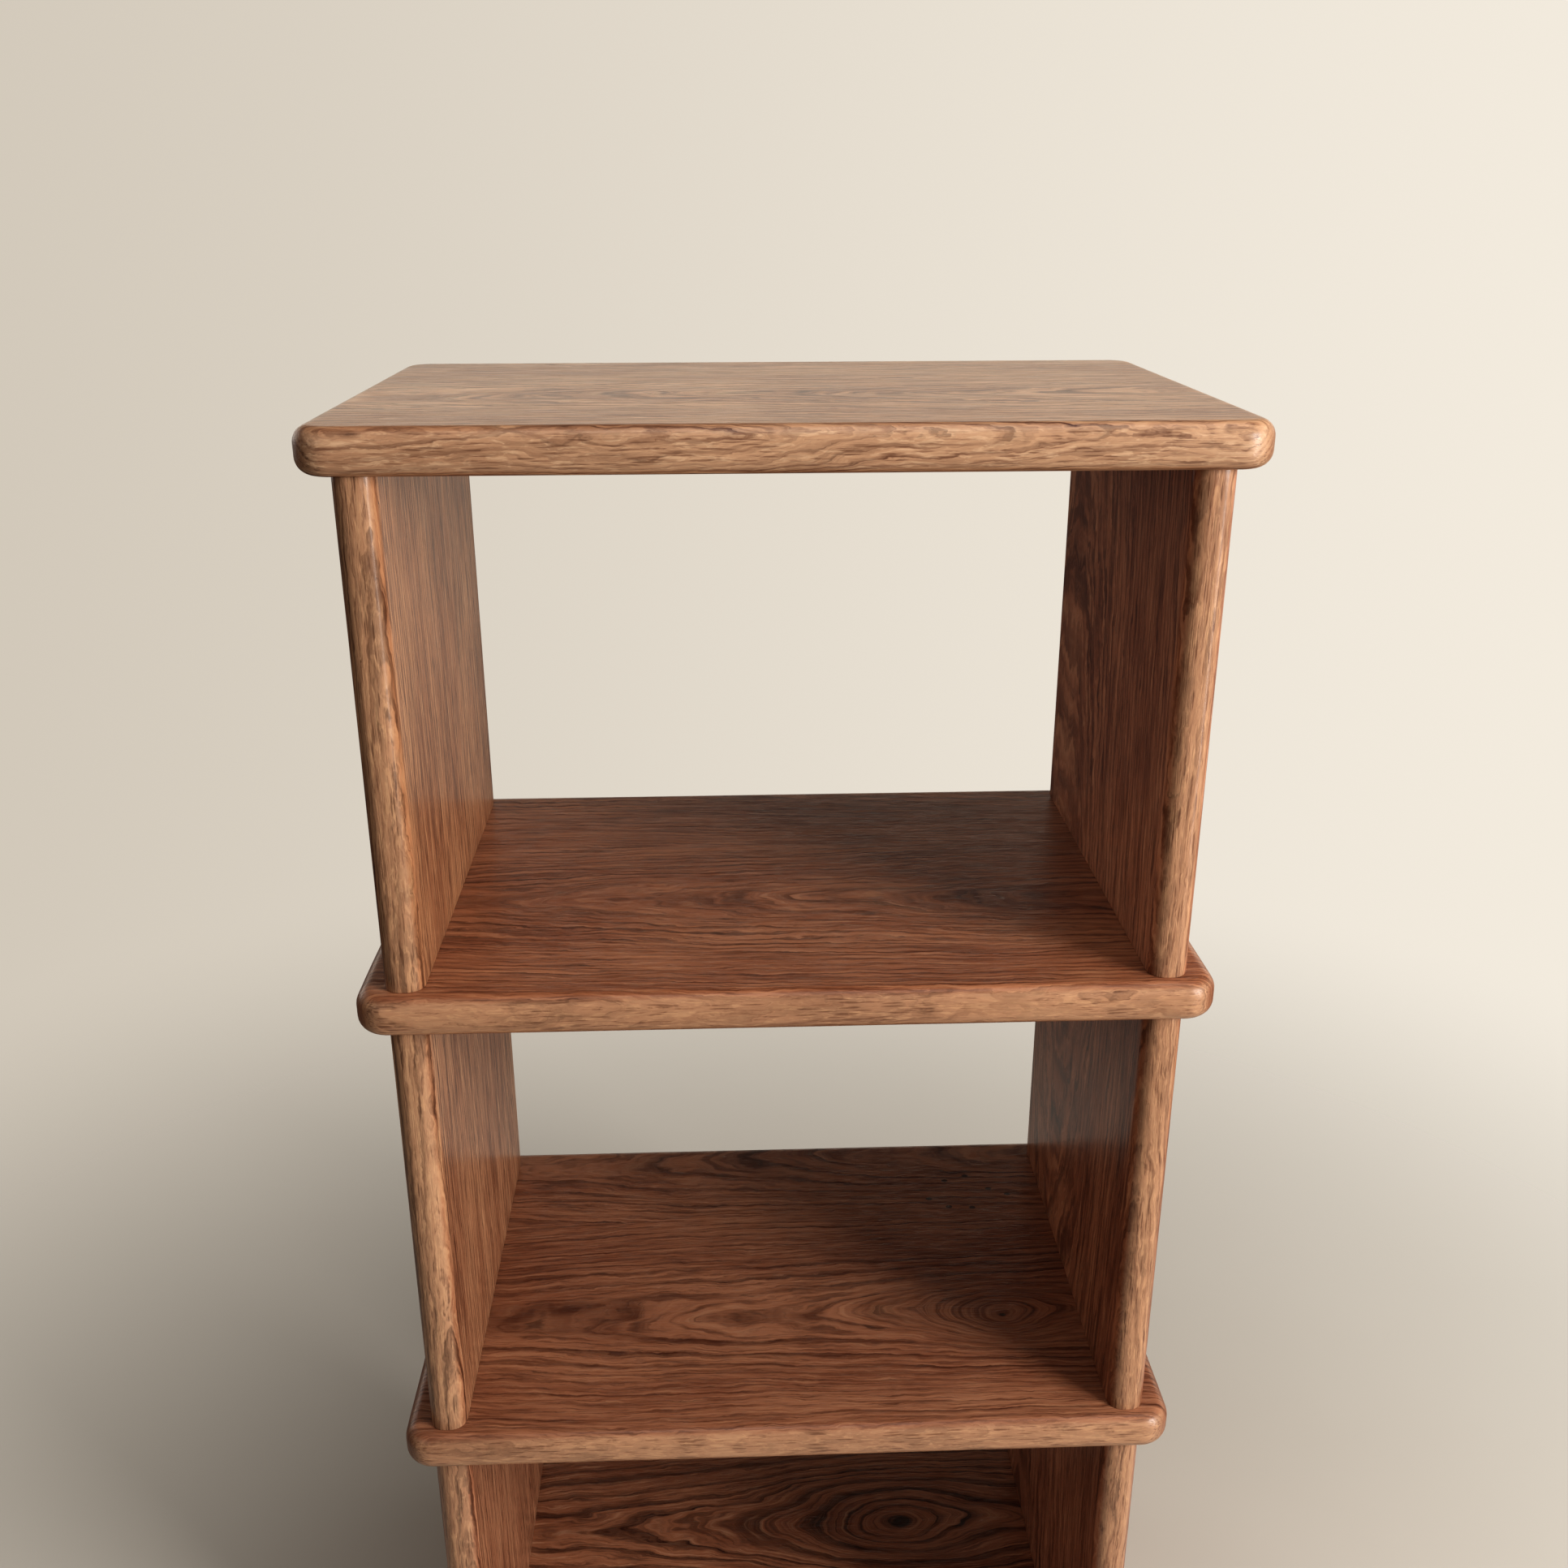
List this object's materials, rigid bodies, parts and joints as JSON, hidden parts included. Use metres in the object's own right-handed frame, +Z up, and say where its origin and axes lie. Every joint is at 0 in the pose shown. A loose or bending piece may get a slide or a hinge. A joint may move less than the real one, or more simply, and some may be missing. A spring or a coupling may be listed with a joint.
{
  "type": "open shelf bookcase",
  "caption": "Open oak bookcase of stacked levels: thick round-edged boards on pairs of upright side panels, doweled together, with no back and no doors.",
  "frame": {"origin": "on the floor, under the middle of the base board", "axes": "+Z up along the unit's height, +X to the right as seen from the front, -Y towards the person in front of it"},
  "size_m": [0.6, 0.384, 1.176],
  "materials": {
    "oak_top": "lighter oiled oak, satin, fine straight grain along the width",
    "oak_shelf": "oiled reddish oak, satin, cathedral and straight grain along the width",
    "oak_base": "oiled reddish oak, satin, bold cathedral grain round a knot",
    "oak_panel": "oiled oak, satin, upright grain with dark streaks",
    "beech_dowel": "plain beech, dry, hidden in the joints"
  },
  "bodies": {
    "root": {"base_board": "oak_base", "lower_shelf_board": "oak_shelf", "upper_shelf_board": "oak_shelf", "top_board": "oak_top", "lower_left_panel": "oak_panel", "lower_right_panel": "oak_panel", "middle_left_panel": "oak_panel", "middle_right_panel": "oak_panel", "upper_left_panel": "oak_panel", "upper_right_panel": "oak_panel", "base_left_front_dowel": "beech_dowel", "base_left_centre_dowel": "beech_dowel", "base_left_back_dowel": "beech_dowel", "base_right_front_dowel": "beech_dowel", "base_right_centre_dowel": "beech_dowel", "base_right_back_dowel": "beech_dowel", "lower_shelf_left_front_dowel": "beech_dowel", "lower_shelf_left_centre_dowel": "beech_dowel", "lower_shelf_left_back_dowel": "beech_dowel", "lower_shelf_right_front_dowel": "beech_dowel", "lower_shelf_right_centre_dowel": "beech_dowel", "lower_shelf_right_back_dowel": "beech_dowel", "upper_shelf_left_front_dowel": "beech_dowel", "upper_shelf_left_centre_dowel": "beech_dowel", "upper_shelf_left_back_dowel": "beech_dowel", "upper_shelf_right_front_dowel": "beech_dowel", "upper_shelf_right_centre_dowel": "beech_dowel", "upper_shelf_right_back_dowel": "beech_dowel", "top_left_front_dowel": "beech_dowel", "top_left_centre_dowel": "beech_dowel", "top_left_back_dowel": "beech_dowel", "top_right_front_dowel": "beech_dowel", "top_right_centre_dowel": "beech_dowel", "top_right_back_dowel": "beech_dowel"}
  },
  "joints": []
}
